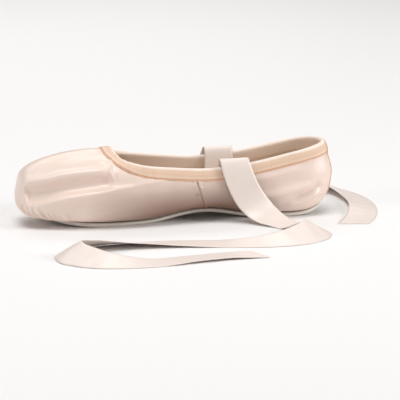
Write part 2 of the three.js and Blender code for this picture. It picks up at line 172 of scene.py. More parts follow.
# Tape over the topline: height of its outer face, points across it, steps between the model's ribs, the
# number of a rib's points that it follows, and the two that the topline runs between. Then its thickness, the
# place of its stitches above its lower edge, and its gathers: their height, what the throat adds to it, and
# the distances up the tape over which they die away.
TAPE = {"face": 8.5, "points": 44, "between": 6, "followed": 8, "rim": (3, 4), "thickness": 0.45,
        "stitch": 1.1, "gather": 0.1, "throat": 0.3, "gathers_out": (12, 8)}
# Shape of the tape: distance up from its outer lower edge, and how far it stands out there
TAPE_PROFILE = [
    (0, -0.75), (0.5, -0.35), (1.1, -0.28), (1.9, 0.06), (4.4, 0.34), (6.4, 0.16), (7, 0.04), (8, 0.2),
    (9.5, 0.22), (11.5, 0.1), (13, 0),
]

# Heel tape: how far it stays within the model's strip at its sides, foot and top, its rows and the points of
# one, how often it is eased over the step below the topline tape, its thickness, the distance of its stitches
# from its edges, and its gathers' height and where they come in
HEEL_TAPE = {"side": 0.1, "foot": 0.4, "top": 0.15, "rows": 64, "points": 29, "eased": 4, "thickness": 0.4,
             "stitch": 1.5, "gather": 0.1, "gathers_in": (4, 1)}
# Its shape: distance in from an edge, and how far it stands off the satin there
HEEL_TAPE_PROFILE = [(0, 0.2), (0.5, 0.6), (1.5, 0.26), (2.4, 0.5), (5, 0.55)]

# Sole: width of its broken edges, the least angle of an edge, and how upright its cut edge is
SOLE = {"bevel": 0.12, "angle": 30, "upright": (0.75, 0.35)}

# Stitches: distance from one to the next, length and thickness, and the share of the thickness by which the
# middle of one stands above the cloth
STITCH = {"pitch": 2.6, "long": 1.9, "thread": 0.4, "above": 0.25}
FINE_STITCH = {"pitch": 2.2, "long": 1.5, "thread": 0.32, "above": 0.25}

# Rows of the noise that the gathers take, one for each cloth
GATHERS = {"tape": 2.0, "satin": 5.0, "heel tape": 9.0}

# Distance between a wave texture's bands at scale 1
BANDS = 0.31

# Floor and light: name, place and aim in metres, size and power
FLOOR = {"size": 40, "tone": "#f2f0ef", "rough": 0.7}
AROUND = 0.15
LIGHTS = [
    ("overhead", (0.25, 0.3, 1.6), (0, 0, 0), 1.0, 16),
    ("front", (0.5, 1.6, 0.8), (0, 0, 0), 1.2, 1.2),
    ("heel side", (-1.3, 0.6, 0.6), (-0.1, 0, 0), 0.6, 12.5),
    ("toe side", (1.2, 0.4, 0.6), (0.1, 0, 0), 0.6, 3.6),
    ("behind", (0, -1.5, 1.4), (0, -1.9, 0), 1.8, 21),
]


def linear(code):
    """Linear colour of a hex sRGB value."""
    parts = [int(code[k:k + 2], 16) / 255 for k in (1, 3, 5)]
    return tuple(p / 12.92 if p <= 0.04045 else ((p + 0.055) / 1.055) ** 2.4 for p in parts) + (1.0,)


def add(tree, kind, inputs=None, **settings):
    """Adds a node with its settings; an input is a value or another node's output."""
    node = tree.nodes.new(kind)
    for name, value in settings.items():
        setattr(node, name, value)
    for name, value in (inputs or {}).items():
        if isinstance(value, bpy.types.NodeSocket):
            tree.links.new(value, node.inputs[name])
        else:
            node.inputs[name].default_value = value
    return node


def new_material(name):
    """An empty material and its node tree."""
    material = bpy.data.materials.new(name)
    material.use_nodes = True
    material.node_tree.nodes.clear()
    return material, material.node_tree


def smooth_step(low, high, value):
    """0 up to low and 1 from high on, with a soft step between; low may be the greater one."""
    t = np.clip((value - low) / (high - low), 0, 1)
    return t * t * (3 - 2 * t)


def smooth_line(points, steps, closed=False):
    """Points on the centripetal curve through the given ones, so many steps between two of them."""
    p = np.array(points, float)
    ahead = p[:2] if closed else [2 * p[-1] - p[-2]]
    behind = p[-1:] if closed else [2 * p[0] - p[1]]
    p = np.vstack([behind, p, ahead])
    gap = np.linalg.norm(np.diff(p, axis=0), axis=1) ** 0.5
    slope = np.diff(p, axis=0) / gap[:, None]
    bend = (slope[:-1] * gap[1:, None] + slope[1:] * gap[:-1, None]) / (gap[:-1] + gap[1:])[:, None]
    line = []
    for k in range(1, len(p) - 2):
        t = np.linspace(0, 1, steps, endpoint=False)[:, None]
        line.append((2 * t**3 - 3 * t**2 + 1) * p[k] + (t**3 - 2 * t**2 + t) * gap[k] * bend[k - 1]
                    + (3 * t**2 - 2 * t**3) * p[k + 1] + (t**3 - t**2) * gap[k] * bend[k])
    return np.vstack(line if closed else line + [p[-2:-1]])


def distances(points):
    """Distance of each point along its line."""
    return np.concatenate([[0], np.cumsum(np.linalg.norm(np.diff(points, axis=0), axis=1))])


def at_places(points, along, places):
    """Points at given distances along a line."""
    return np.column_stack([np.interp(places, along, points[:, k]) for k in range(points.shape[1])])


def even_line(points, step):
    """The same line with points a step apart, and their distances along it."""
    along = distances(points)
    places = np.linspace(0, along[-1], max(2, round(along[-1] / step) + 1))
    return at_places(points, along, places), places


def unit(vectors):
    """The same directions, 1 long."""
    return vectors / np.linalg.norm(vectors, axis=1)[:, None]


def coordinates(piece):
    """The places of a piece's points, in millimetres."""
    co = np.empty(len(piece.data.vertices) * 3)
    piece.data.vertices.foreach_get("co", co)
    return co.reshape(-1, 3) / MM


def move_to(piece, co):
    """Puts a piece's points at places in millimetres."""
    piece.data.vertices.foreach_set("co", (co * MM).ravel())
    piece.data.update()


def normals(piece):
    """The way that each point of a piece faces."""
    out = np.empty(len(piece.data.vertices) * 3)
    piece.data.vertex_normals.foreach_get("vector", out)
    return out.reshape(-1, 3)


def spine_points(co):
    """The point of the spine that each point stands on."""
    spine = np.zeros_like(co)
    spine[:, 0] = np.clip(co[:, 0], SPINE["heel"], SPINE["toe"])
    spine[:, 2] = SPINE["height"]
    return spine


def deselect():
    """Leaves nothing selected."""
    bpy.ops.object.select_all(action="DESELECT")


def only(piece):
    """Makes a piece the one selected and active object."""
    deselect()
    piece.select_set(True)
    bpy.context.view_layer.objects.active = piece


def apply_modifier(piece, kind, **settings):
    """Adds a modifier with its settings and applies it."""
    only(piece)
    modifier = piece.modifiers.new(kind.lower(), kind)
    for name, value in settings.items():
        setattr(modifier, name, value)
    bpy.ops.object.modifier_apply(modifier=modifier.name)


def merge(piece):
    """Joins the points of a piece that lie on each other."""
    only(piece)
    bpy.ops.object.mode_set(mode="EDIT")
    bpy.ops.mesh.select_all(action="SELECT")
    bpy.ops.mesh.remove_doubles(threshold=MERGE)
    bpy.ops.object.mode_set(mode="OBJECT")


def copy_of(node, name):
    """A new piece in a node's place, its triangles merged and paired into four-sided faces."""
    piece = bpy.data.objects.new(name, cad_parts[node].data.copy())
    bpy.context.scene.collection.objects.link(piece)
    piece.data.materials.clear()
    merge(piece)
    bpy.ops.object.mode_set(mode="EDIT")
    bpy.ops.mesh.customdata_custom_splitnormals_clear()
    bpy.ops.mesh.tris_convert_to_quads(face_threshold=math.pi, shape_threshold=math.pi,
                                       topology_influence=1.4)
    bpy.ops.object.mode_set(mode="OBJECT")
    return piece


def smooth_piece(piece):
    """Rounds a piece off between the model's points."""
    apply_modifier(piece, "SUBSURF", levels=SMOOTH_LEVELS, render_levels=SMOOTH_LEVELS)
    bpy.ops.object.shade_smooth()


def refine(piece, wanted):
    """Cuts each face whose corners are all wanted into four."""
    faces = [bool(wanted[list(face.vertices)].all()) for face in piece.data.polygons]
    only(piece)
    bpy.ops.object.mode_set(mode="EDIT")
    bpy.ops.mesh.select_mode(type="FACE")
    bpy.ops.mesh.select_all(action="DESELECT")
    bpy.ops.object.mode_set(mode="OBJECT")
    piece.data.polygons.foreach_set("select", faces)
    bpy.ops.object.mode_set(mode="EDIT")
    bpy.ops.mesh.subdivide(number_cuts=1, smoothness=0, ngon=False)
    bpy.ops.mesh.vertices_smooth(factor=0.5, repeat=2)
    bpy.ops.object.mode_set(mode="OBJECT")


def set_value(piece, name, values):
    """Stores a number for each point of a piece."""
    layer = piece.data.attributes.get(name) or piece.data.attributes.new(name, "FLOAT", "POINT")
    layer.data.foreach_set("value", np.asarray(values, np.float32))


def get_value(piece, name):
    """The number stored for each point of a piece."""
    values = np.empty(len(piece.data.vertices), np.float32)
    piece.data.attributes[name].data.foreach_get("value", values)
    return values.astype(float)


def set_map(piece, uv):
    """Sets a piece's UV map from one pair for each point."""
    corners = np.empty(len(piece.data.loops), int)
    piece.data.loops.foreach_get("vertex_index", corners)
    layers = piece.data.uv_layers
    layer = layers[0] if layers else layers.new(name="threads")
    layer.data.foreach_set("uv", uv[corners].ravel())


def cloth_grid(name, rows, along, across):
    """A sheet of four-sided faces through rows of points, mapped by the places along and across it."""
    steps, strips = rows.shape[0] - 1, rows.shape[1] - 1
    deselect()
    bpy.ops.mesh.primitive_grid_add(x_subdivisions=steps, y_subdivisions=strips, size=1)
    piece = bpy.context.object
    piece.name = name
    flat = coordinates(piece) * MM + 0.5
    i = np.round(flat[:, 0] * steps).astype(int)
    j = np.round(flat[:, 1] * strips).astype(int)
    move_to(piece, rows[i, j])
    set_map(piece, np.column_stack([along[i], across[j]]))
    set_value(piece, "along", along[i])
    set_value(piece, "across", across[j])
    return piece


def face_out(piece, away):
    """Turns a sheet over if its faces don't look along the given directions."""
    if np.einsum("ij,ij->i", away, normals(piece)).mean() > 0:
        return
    only(piece)
    bpy.ops.object.mode_set(mode="EDIT")
    bpy.ops.mesh.select_all(action="SELECT")
    bpy.ops.mesh.flip_normals()
    bpy.ops.object.mode_set(mode="OBJECT")


def finish_piece(piece, slot, *nodes):
    """Puts a piece on the one body and in the place of the model's nodes; its slot is not used."""
    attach(piece, "root")
    if nodes:
        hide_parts(*nodes)


def surface_tree(piece):
    """A piece's faces, ready to be searched."""
    points = [v.co for v in piece.data.vertices]
    return BVHTree.FromPolygons(points, [face.vertices for face in piece.data.polygons])


# Camera
def place_camera():
    """The camera, level and aimed at the shoe."""
    a, e = math.radians(CAMERA["azimuth"]), math.radians(CAMERA["elevation"])
    back = Vector((math.sin(a) * math.cos(e), -math.cos(a) * math.cos(e), math.sin(e)))
    place = (Vector(CAMERA["aim"]) + back * CAMERA["distance"]) * MM
    bpy.ops.object.camera_add(location=place, rotation=(-back).to_track_quat("-Z", "Y").to_euler())
    camera = bpy.context.object
    camera.data.lens = CAMERA["lens"]
    camera.data.sensor_width = CAMERA["sensor"]
    bpy.context.scene.camera = camera


# Materials
def satin_material(name, tone, shade, shade_and_soil_colour):
    """Woven polyester satin: long floats side by side give a broad streak of light across the threads."""
    material, tree = new_material(name)
    threads = add(tree, "ShaderNodeTexCoord").outputs["UV"]
    # Threads are far finer than the picture's dots, so slubs are drawn about 1 mm wide and 30 mm long
    drawn = add(tree, "ShaderNodeMapping", {"Vector": threads, "Scale": (0.033, 1.0, 1.0)})
    slub = add(tree, "ShaderNodeTexNoise", {"Vector": drawn.outputs["Vector"], "Scale": 1.0, "Detail": 3.0})
    solid = add(tree, "ShaderNodeTexCoord").outputs["Object"]
    # Clouds of the dye about 36 mm wide
    cloud = add(tree, "ShaderNodeTexNoise", {"Vector": solid, "Scale": 28.0, "Detail": 3.0})
    tint = add(tree, "ShaderNodeMix", {
        "Factor": cloud.outputs["Fac"], "A": linear(shade), "B": linear(tone)}, data_type="RGBA")
    # Painted shade, partly soil, stored on the upper's points: browner low at the arch, darker in pleat
    # valleys and seam grooves
    shade_and_soil = add(tree, "ShaderNodeAttribute", attribute_name="shade_and_soil")
    shade_mix = add(tree, "ShaderNodeMix", {
        "Factor": shade_and_soil.outputs["Fac"], "A": tint.outputs["Result"], "B": linear(shade_and_soil_colour)}, data_type="RGBA")
    gloss = add(tree, "ShaderNodeMapRange", {"Value": slub.outputs["Fac"], "To Min": 0.32, "To Max": 0.44})
    # Ripples of the glued cloth about 7 mm wide
    ripple = add(tree, "ShaderNodeTexNoise", {"Vector": solid, "Scale": 150.0, "Detail": 2.0})
    soft = add(tree, "ShaderNodeBump", {
        "Height": ripple.outputs["Fac"], "Strength": 0.12, "Distance": 0.001})
    bump = add(tree, "ShaderNodeBump", {
        "Height": slub.outputs["Fac"], "Strength": 0.10, "Distance": 0.0004,
        "Normal": soft.outputs["Normal"]})
    tangent = add(tree, "ShaderNodeTangent", direction_type="UV_MAP")
    skin = add(tree, "ShaderNodeBsdfPrincipled", {
        "Base Color": shade_mix.outputs["Result"], "Roughness": gloss.outputs["Result"], "IOR": 1.5,
        "Specular IOR Level": 1.0, "Metallic": 0.0, "Anisotropic": 0.5, "Tangent": tangent.outputs["Tangent"],
        "Sheen Weight": 0.15, "Sheen Roughness": 0.4, "Sheen Tint": linear("#fff4ec"),
        "Normal": bump.outputs["Normal"]})
    add(tree, "ShaderNodeOutputMaterial", {"Surface": skin.outputs["BSDF"]})
    return material


def cotton_material(name, tone, shade, thread, rough):
    """Plain-woven cotton: matt, its crossed threads drawn about 1 mm wide so that they show."""
    material, tree = new_material(name)
    solid = add(tree, "ShaderNodeTexCoord").outputs["Object"]
    bands = {"Vector": solid, "Scale": BANDS / (thread * MM), "Distortion": 0.6, "Detail": 1.0}
    warp = add(tree, "ShaderNodeTexWave", bands, bands_direction="X")
    weft = add(tree, "ShaderNodeTexWave", bands, bands_direction="Y")
    weave = add(tree, "ShaderNodeMath", {0: warp.outputs["Fac"], 1: weft.outputs["Fac"]},
                operation="MULTIPLY")
    # Uneven colour in patches about 17 mm wide
    cloud = add(tree, "ShaderNodeTexNoise", {"Vector": solid, "Scale": 60.0, "Detail": 4.0})
    tint = add(tree, "ShaderNodeMix", {
        "Factor": cloud.outputs["Fac"], "A": linear(shade), "B": linear(tone)}, data_type="RGBA")
    bump = add(tree, "ShaderNodeBump", {
        "Height": weave.outputs["Value"], "Strength": 0.3, "Distance": 0.0003})
    skin = add(tree, "ShaderNodeBsdfPrincipled", {
        "Base Color": tint.outputs["Result"], "Roughness": rough, "Specular IOR Level": 0.25,
        "Normal": bump.outputs["Normal"]})
    add(tree, "ShaderNodeOutputMaterial", {"Surface": skin.outputs["BSDF"]})
    return material


def tape_material(name, bands):
    """Ribbed cotton tape: half matt, with fine cross ribs, and bands of colour across it, among them painted
    highlights where its folded edges catch the light.

    The bands are shares of the width from the lower edge, each with its colour."""
    material, tree = new_material(name)
    place = add(tree, "ShaderNodeTexCoord").outputs["UV"]
    split = add(tree, "ShaderNodeSeparateXYZ", {"Vector": place})
    solid = add(tree, "ShaderNodeTexCoord").outputs["Object"]
    # The bands wander a little, in waves about 11 mm long
    wander = add(tree, "ShaderNodeTexNoise", {"Vector": solid, "Scale": 90.0, "Detail": 2.0})
    shift = add(tree, "ShaderNodeMapRange", {
        "Value": wander.outputs["Fac"], "To Min": -0.02, "To Max": 0.02})
    across = add(tree, "ShaderNodeMath", {0: split.outputs["Y"], 1: shift.outputs["Result"]},
                 operation="ADD")
    ramp = add(tree, "ShaderNodeValToRGB", {"Fac": across.outputs["Value"]})
    stops = ramp.color_ramp.elements
    stops.remove(stops[1])
    stops[0].position, stops[0].color = bands[0][0], linear(bands[0][1])
    for share, colour in bands[1:]:
        stops.new(share).color = linear(colour)
    # Lighter and darker stretches about 22 mm long
    cloud = add(tree, "ShaderNodeTexNoise", {"Vector": solid, "Scale": 45.0, "Detail": 3.0})
    light = add(tree, "ShaderNodeMapRange", {
        "Value": cloud.outputs["Fac"], "To Min": 0.93, "To Max": 1.05})
    tint = add(tree, "ShaderNodeVectorMath", {
        0: ramp.outputs["Color"], "Scale": light.outputs["Result"]}, operation="SCALE")
    # Ribs 1 mm apart, about twice as coarse as the real ones so that they show
    ribs = add(tree, "ShaderNodeTexWave", {"Vector": place, "Scale": BANDS, "Distortion": 0.4},
               bands_direction="X")
    bump = add(tree, "ShaderNodeBump", {
        "Height": ribs.outputs["Fac"], "Strength": 0.25, "Distance": 0.0003})
    skin = add(tree, "ShaderNodeBsdfPrincipled", {
        "Base Color": tint.outputs["Vector"], "Roughness": 0.6, "Specular IOR Level": 0.4,
        "Sheen Weight": 0.2, "Sheen Roughness": 0.5, "Normal": bump.outputs["Normal"]})
    add(tree, "ShaderNodeOutputMaterial", {"Surface": skin.outputs["BSDF"]})
    return material


def suede_material(name, nap, cut):
    """Split leather, nap side out: matt and mottled, with a paler smooth cut edge."""
    material, tree = new_material(name)
    solid = add(tree, "ShaderNodeTexCoord").outputs["Object"]
    # Tufts of the nap about 1 mm wide, and mottling about 18 mm wide
    fibre = add(tree, "ShaderNodeTexNoise", {"Vector": solid, "Scale": 900.0, "Detail": 4.0})
    mottle = add(tree, "ShaderNodeTexNoise", {"Vector": solid, "Scale": 55.0, "Detail": 5.0})
    light = add(tree, "ShaderNodeMapRange", {
        "Value": mottle.outputs["Fac"], "To Min": 0.82, "To Max": 1.1})
    edge = add(tree, "ShaderNodeAttribute", attribute_name="edge")
    tint = add(tree, "ShaderNodeMix", {
        "Factor": edge.outputs["Fac"], "A": linear(nap), "B": linear(cut)}, data_type="RGBA")
    colour = add(tree, "ShaderNodeVectorMath", {
        0: tint.outputs["Result"], "Scale": light.outputs["Result"]}, operation="SCALE")
    bump = add(tree, "ShaderNodeBump", {
        "Height": fibre.outputs["Fac"], "Strength": 0.35, "Distance": 0.0004})
    skin = add(tree, "ShaderNodeBsdfPrincipled", {
        "Base Color": colour.outputs["Vector"], "Roughness": 0.88, "Specular IOR Level": 0.2,
        "Sheen Weight": 0.25, "Sheen Roughness": 0.6, "Normal": bump.outputs["Normal"]})
    add(tree, "ShaderNodeOutputMaterial", {"Surface": skin.outputs["BSDF"]})
    return material


def thread_material(name, tone):
    """Twisted polyester thread: half gloss, with its twist as fine slanted bands."""
    material, tree = new_material(name)
    solid = add(tree, "ShaderNodeTexCoord").outputs["Object"]
    # Turns of the twist about 0.35 mm apart
    twist = add(tree, "ShaderNodeTexWave", {"Vector": solid, "Scale": 900.0}, bands_direction="DIAGONAL")
    bump = add(tree, "ShaderNodeBump", {
        "Height": twist.outputs["Fac"], "Strength": 0.3, "Distance": 0.0001})
    skin = add(tree, "ShaderNodeBsdfPrincipled", {
        "Base Color": linear(tone), "Roughness": 0.45, "Normal": bump.outputs["Normal"]})
    add(tree, "ShaderNodeOutputMaterial", {"Surface": skin.outputs["BSDF"]})
    return material


place_camera()
# The satin's last colour is the brown of its painted shade, partly soil
satin = satin_material("polyester_satin", "#f3e0d4", "#e9d0c1", "#744628")
ribbon_satin = satin_material("satin_ribbon", "#f3e7df", "#ebdbd1", "#d8bda9")
lining = cotton_material("cotton_lining", "#ecdccb", "#dfcdb9", 1.0, 0.9)
sock = cotton_material("cotton_sock", "#e9d8c4", "#dac6b0", 1.2, 0.92)
# Topline tape: the orange-brown stitch line at 0.05, and lighter bands on its folds, at the lower edge and
# over the topline from 0.39 to 0.5, which are painted highlights
tape = tape_material("cotton_tape", [
    (0.0, "#e9b793"), (0.03, "#eec9ae"), (0.05, "#cf9468"), (0.075, "#eed4be"), (0.2, "#e2c1a6"),
    (0.33, "#e6c7ae"), (0.39, "#f8e8db"), (0.5, "#f4e2d4"), (1.0, "#e8cfbd"),
])
heel_tape = tape_material("heel_tape", [
    (0.0, "#e6a57a"), (0.05, "#ecb690"), (0.09, "#e3a177"), (0.14, "#f3dccb"), (0.5, "#f4e2d6"),
    (0.86, "#f3dccb"), (0.91, "#e3a177"), (0.95, "#ecb690"), (1.0, "#e6a57a"),
])
suede = suede_material("split_leather", "#cdc5ba", "#f3ebe1")
seam_thread = thread_material("seam_thread", "#d9986d")
pale_thread = thread_material("pale_thread", "#e6c3ad")


# Ribbons
def ribbon_rows(side, way, floor):
    """Places, the way the face looks and the lean for each row of a ribbon's table."""
    places = [(RIBBON["sewn"] + way * slip, side * y, z) for slip, y, z, _ in DRAPE]
    faces = [math.radians(face) for *_, face in DRAPE]
    looks = [(0, side * math.sin(face), math.cos(face)) for face in faces]
    leans = [0] * len(DRAPE) + [math.radians(lean) for *_, lean in floor]
    places += [(x, y, RIBBON["rest"]) for x, y, _ in floor]
    looks += [(0, 0, 1)] * len(floor)
    return np.array(places, float), np.array(looks, float), np.array(leans)


def make_ribbon(name, node, side, way, floor):
    """A ribbon from inside the quarter over the tape and along the floor, with its slanted end."""
    places, looks, leans = ribbon_rows(side, way, floor)
    steps = 12
    fine = smooth_line(places, steps)
    line, along = even_line(fine, RIBBON["step"])
    row = np.interp(along, distances(fine), np.arange(len(fine)) / steps)
    window = np.hanning(2 * RIBBON["soften"] + 1)
    window /= window.sum()

    def spread(column):
        """A column of the table for every point of the line, evened out."""
        values = np.interp(row, np.arange(len(column)), column)
        return np.convolve(np.pad(values, RIBBON["soften"], mode="edge"), window, mode="valid")

    ahead = unit(np.gradient(line, axis=0))
    look = np.column_stack([spread(looks[:, k]) for k in range(3)])
    face = unit(look - ahead * np.einsum("ij,ij->i", look, ahead)[:, None])
    lean = spread(leans)[:, None]
    face = face * np.cos(lean) + np.cross(ahead, face) * np.sin(lean)
    left = np.cross(face, ahead)
    across = np.linspace(-0.5, 0.5, RIBBON["across"] + 1)
    on_floor = np.clip((RIBBON["clear"] - line[:, 2]) / RIBBON["settle"], 0, 1)
    wave = RIBBON["ripple"] * np.sin(2 * math.pi * along / RIBBON["every"])
    wave *= on_floor * np.abs(lean[:, 0]) * 2
    end = smooth_step(RIBBON["tail"], 1, along / along[-1]) * RIBBON["cut"]
    middle = np.stack([at_places(line, along, along - end * (0.5 + share)) for share in across], axis=1)
    rows = middle + left[:, None] * across[None, :, None] * RIBBON["width"]
    rows += face[:, None] * (wave[:, None] * (2 * across[None]) ** 2)[..., None]
    raised = np.maximum(0, RIBBON["rest"] - rows[..., 2].min(axis=1))
    rows[..., 2] += raised[:, None]
    line[:, 2] += raised
    piece = cloth_grid(name, rows, along, across * RIBBON["width"])
    apply_modifier(piece, "SOLIDIFY", thickness=RIBBON["thickness"] * MM, offset=0)
    bpy.ops.object.shade_smooth()
    piece.data.materials.append(ribbon_satin)
    finish_piece(piece, "ribbon", node)


make_ribbon("ribbon_left_satin", "ribbon_left", 1, -1, LEFT_FLOOR)
make_ribbon("ribbon_right_satin", "ribbon_right", -1, 1, RIGHT_FLOOR)


# Tape over the topline
def tape_net():
    """The tape's points as a net: a row for each rib round the topline, from the outer lower edge up."""
    scratch = bpy.data.objects.new("scratch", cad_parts["binding"].data.copy())
    bpy.context.scene.collection.objects.link(scratch)
    merge(scratch)
    net = bmesh.new()
    net.from_mesh(scratch.data)
    near = {v: {edge.other_vert(v) for edge in v.link_edges} for v in net.verts}

    def in_order(ring):
        """A rib's points one after the other, round the rib."""
        line = [min(ring, key=lambda v: v.index)]
        while len(line) < len(ring):
            ahead = [v for v in near[line[-1]] if v in ring and v not in line]
            line.append(min(ahead, key=lambda v: v.index))
        return line

    def beside(ring, line):
        """The next rib's points, each one joined to a point of this rib."""
        turns = [way[k:] + way[:k] for way in (line, line[::-1]) for k in range(len(line))]
        joined = [turn for turn in turns if all(b in near[a] for a, b in zip(ring, turn))]
        return min(joined, key=lambda turn: sum((b.co - a.co).length for a, b in zip(ring, turn)))

    # From the rib at the middle of the heel round by the left side
    back = {v for v in net.verts if abs(v.co.y) < MERGE and v.co.x < 0}
    done = {v for v in net.verts if v.co.y < -MERGE}
    rings = [in_order(back)]
    for _ in range(len(net.verts) // len(back) - 1):
        ahead = set().union(*(near[v] for v in rings[-1])) - set(rings[-1]) - done
        done = set(rings[-1])
        rings.append(beside(rings[-1], in_order(ahead)))
    table = np.array([[v.co for v in ring] for ring in rings]) / MM
    net.free()
    bpy.data.objects.remove(scratch)
    flat = table.reshape(-1, 3)
    reach = np.linalg.norm((flat - spine_points(flat))[:, :2], axis=1)
    reach = reach.reshape(table.shape[:2]).mean(axis=0)
    height = table[..., 2].mean(axis=0)
    lowest = np.argsort(height)[:4]
    first = lowest[np.argmax(reach[lowest])]
    table = np.roll(table, -first, axis=1)
    if table[:, -1, 2].mean() > table[:, 1, 2].mean():
        table = np.roll(table[:, ::-1], 1, axis=1)
    return table


net = tape_net()
rim_line = smooth_line(net[:, TAPE["rim"]].mean(axis=1), TAPE["between"], closed=True)
rim_along = distances(rim_line)
rim_tree = KDTree(len(rim_line))
for k, point in enumerate(rim_line):
    rim_tree.insert(point, k)
rim_tree.balance()


def nearest_on_rim(co):
    """Distance of each point from the topline, and the place along it."""
    found = [rim_tree.find(point) for point in co]
    return np.array([f[2] for f in found]), rim_along[[f[1] for f in found]]


def pucker(along, seed):
    """Uneven gathers along a sewn line, about 5 mm apart, from -1 to 1."""
    return np.array([noise.noise(Vector((a * 0.3, seed, 0.5))) * 1.6 for a in along])


def make_binding():
    """The tape folded over the topline, and the line of its stitches."""
    lines = [smooth_line(net[:, j], TAPE["between"], closed=True) for j in range(TAPE["followed"])]
    fine = np.stack(lines, axis=1)
    fine = np.concatenate([fine, fine[:1]])
    rows = []
    for points in fine:
        line = smooth_line(points, 8)
        up = distances(line)
        across = np.linspace(0, up[-1], TAPE["points"])
        rows.append(at_places(line, up, across))
    rows = np.array(rows)
    along = distances(fine[:, 2])
    piece = cloth_grid("binding_tape", rows, along, across / across[-1])
    merge(piece)
    up = get_value(piece, "across") * across[-1]
    co = coordinates(piece)
    face_out(piece, (co - spine_points(co)) * (up < TAPE["face"])[:, None])
    out = normals(piece)
    stand = np.interp(up, *zip(*TAPE_PROFILE))
    gather = TAPE["gather"] + TAPE["throat"] * smooth_step(*THROAT, co[:, 0])
    gather *= smooth_step(*TAPE["gathers_out"], up)
    stand += pucker(get_value(piece, "along"), GATHERS["tape"]) * gather
    co += out * stand[:, None]
    move_to(piece, co)
    apply_modifier(piece, "SOLIDIFY", thickness=TAPE["thickness"] * MM, offset=-1)
    bpy.ops.object.shade_smooth()
    piece.data.materials.append(tape)
    finish_piece(piece, "tape", "binding")
    sewn = np.array([at_places(row, across, [TAPE["stitch"]])[0] for row in rows])
    return piece, sewn


def sew(name, lines, piece, stitch, material, slot):
    """A row of stitches along each line, every one laid on a piece, as one mesh."""
    tree = surface_tree(piece)
    deselect()
    bpy.ops.mesh.primitive_uv_sphere_add(segments=6, ring_count=5, radius=0.5)
    model = bpy.context.object
    bead = coordinates(model) * MM
    faces = np.array([list(face.vertices) for face in model.data.polygons if len(face.vertices) == 4])
    caps = np.array([list(face.vertices) for face in model.data.polygons if len(face.vertices) == 3])
    bpy.data.objects.remove(model)
    points, loops = [], []
    for line in lines:
        spots, _ = even_line(line, stitch["pitch"])
        for spot, way in zip(spots, unit(np.gradient(spots, axis=0))):
            place, out, *_ = tree.find_nearest(Vector(spot * MM))
            out = np.array(out)
            way = unit((way - out * way.dot(out))[None])[0]
            middle = np.array(place) / MM + out * stitch["thread"] * stitch["above"]
            start = len(points) * len(bead)
            size = np.array([stitch["long"], stitch["thread"], stitch["thread"]])
            points.append(middle + bead * size @ np.array([way, np.cross(out, way), out]))
            loops += (faces + start).tolist() + (caps + start).tolist()
    mesh = bpy.data.meshes.new(name)
    mesh.from_pydata((np.vstack(points) * MM).tolist(), [], loops)
    stitches = bpy.data.objects.new(name, mesh)
    bpy.context.scene.collection.objects.link(stitches)
    only(stitches)
    bpy.ops.object.shade_smooth()
    stitches.data.materials.append(material)
    finish_piece(stitches, slot)


binding, tape_seam = make_binding()
sew("binding_stitches", [tape_seam], binding, STITCH, seam_thread, "tape")


# Upper
def drawn_line(tree, seen, line, side):
    """A line of the table laid on the shoe's outer face."""
    points = []
    for a, b in line:
        if seen == "side":
            start, way = Vector((a, side * 90, b)), Vector((0, -side, 0))
        else:
            start, way = Vector((190, side * a, b)), Vector((-1, 0, 0))
        hit = tree.ray_cast(start * MM, way)[0]
        if hit is not None and hit.y * side > 0:
            points.append(np.array(hit) / MM)
    return smooth_line(points, 6)


def nearness(co, line, half, peak=2, fade=(0, 0)):
    """1 on the line, falling to 0 at the distance half, and dying away at its ends."""
    result = np.zeros(len(co))
    inside = ((co > line.min(axis=0) - half) & (co < line.max(axis=0) + half)).all(axis=1)
    near = co[inside]
    best = np.full(len(near), 1e9)
    where = np.zeros(len(near))
    along = distances(line)
    for a, b, start, stop in zip(line[:-1], line[1:], along[:-1], along[1:]):
        t = np.clip(((near - a) @ (b - a)) / (stop - start) ** 2, 0, 1)
        distance = np.linalg.norm(near - (a + t[:, None] * (b - a)), axis=1)
        closer = distance < best
        best[closer] = distance[closer]
        where[closer] = (start + t[closer] * (stop - start)) / along[-1]
    profile = np.clip(1 - (best / half) ** peak, 0, 1) ** 2
    for share, place in zip(fade, (where, 1 - where)):
        if share:
            profile *= smooth_step(0, share, place)
    result[inside] = profile
    return result


def outer_side(co, out):
    """Which points lie on the satin side of the wall."""
    return np.einsum("ij,ij->i", co - spine_points(co), out) > 0


def drag_lines(tree, seam, side):
    """Short wrinkles that leave a seam at right angles, by turns on its two sides."""
    spots, _ = even_line(seam, DRAG["every"])
    ahead = unit(np.gradient(spots, axis=0))
    lines = []
    for k, (spot, way) in enumerate(zip(spots[1:-1], ahead[1:-1])):
        turn = np.array([-way[2], 0, way[0]]) * (1 if k % 2 else -1)
        reach = DRAG["reach"] * (0.7 + 0.3 * math.sin(k * 2.4))
        drift = way * reach * 0.25 * math.sin(k * 1.7)
        middle = spot + turn * reach * 0.5 + drift * 0.4
        route = (spot + turn * DRAG["gap"], middle, spot + turn * reach + drift)
        seen = [(point[0], np.clip(point[2], DRAG["lowest"], DRAG["highest"])) for point in route]
        lines.append(drawn_line(tree, "side", seen, side))
    return lines


